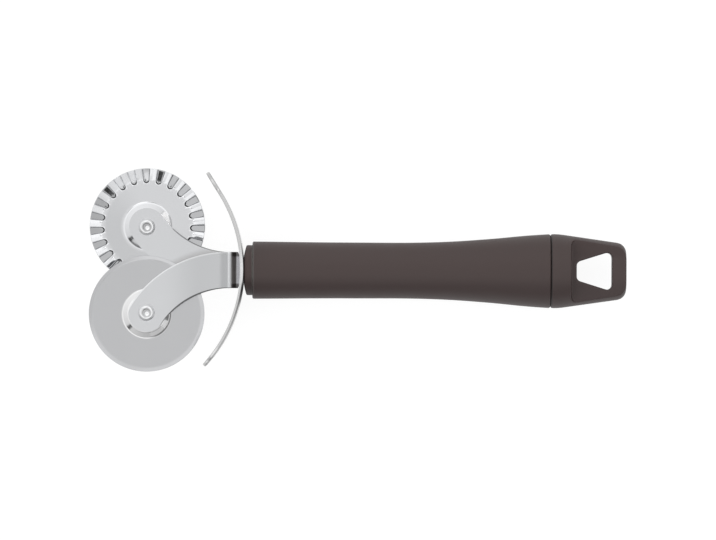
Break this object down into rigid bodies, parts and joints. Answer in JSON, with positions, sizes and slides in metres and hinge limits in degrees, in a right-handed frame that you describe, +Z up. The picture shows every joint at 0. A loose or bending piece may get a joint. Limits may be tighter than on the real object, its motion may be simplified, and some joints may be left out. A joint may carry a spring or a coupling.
{
  "type": "pastry wheel",
  "caption": "Hand-held pastry wheel with a plain and a fluted cutting wheel on curved arms, a curved finger guard and a round handle that ends in a hanging hole.",
  "frame": {"origin": "middle of the tool's box, on the surface that it lies on", "axes": "+X along the handle towards the hanging end, +Y towards the fluted wheel, +Z up, along both wheels' axles"},
  "size_m": [0.1856, 0.0704, 0.0256],
  "materials": {
    "handle_plastic": "fine matt moulded texture, dark brown grey",
    "wheel_steel": "satin stainless, stamped",
    "arm_steel": "satin stainless strip with eased edges",
    "guard_steel": "satin stainless strip",
    "axle_steel": "bright stainless rivets, bushes and washers"
  },
  "bodies": {
    "tool": {"handle_body": "handle_plastic", "front_collar": "handle_plastic", "end_cap": "handle_plastic", "guard": "guard_steel", "plain_arm": "arm_steel", "fluted_arm": "arm_steel", "plain_axle_rivet": "axle_steel", "fluted_axle_rivet": "axle_steel", "plain_spacer_bush": "axle_steel", "fluted_spacer_bush": "axle_steel", "plain_back_washer": "axle_steel", "fluted_back_washer": "axle_steel"},
    "plain_wheel": {"plain_wheel": "wheel_steel"},
    "fluted_wheel": {"fluted_wheel": "wheel_steel"}
  },
  "joints": [
    {"name": "plain_wheel_spin", "type": "hinge", "parent": "tool", "child": "plain_wheel", "pos_m": [-0.07281, -0.0152, 0.01465], "axis": [0, 0, 1], "continuous": true},
    {"name": "fluted_wheel_spin", "type": "hinge", "parent": "tool", "child": "fluted_wheel", "pos_m": [-0.07281, 0.0152, 0.00915], "axis": [0, 0, 1], "continuous": true}
  ]
}
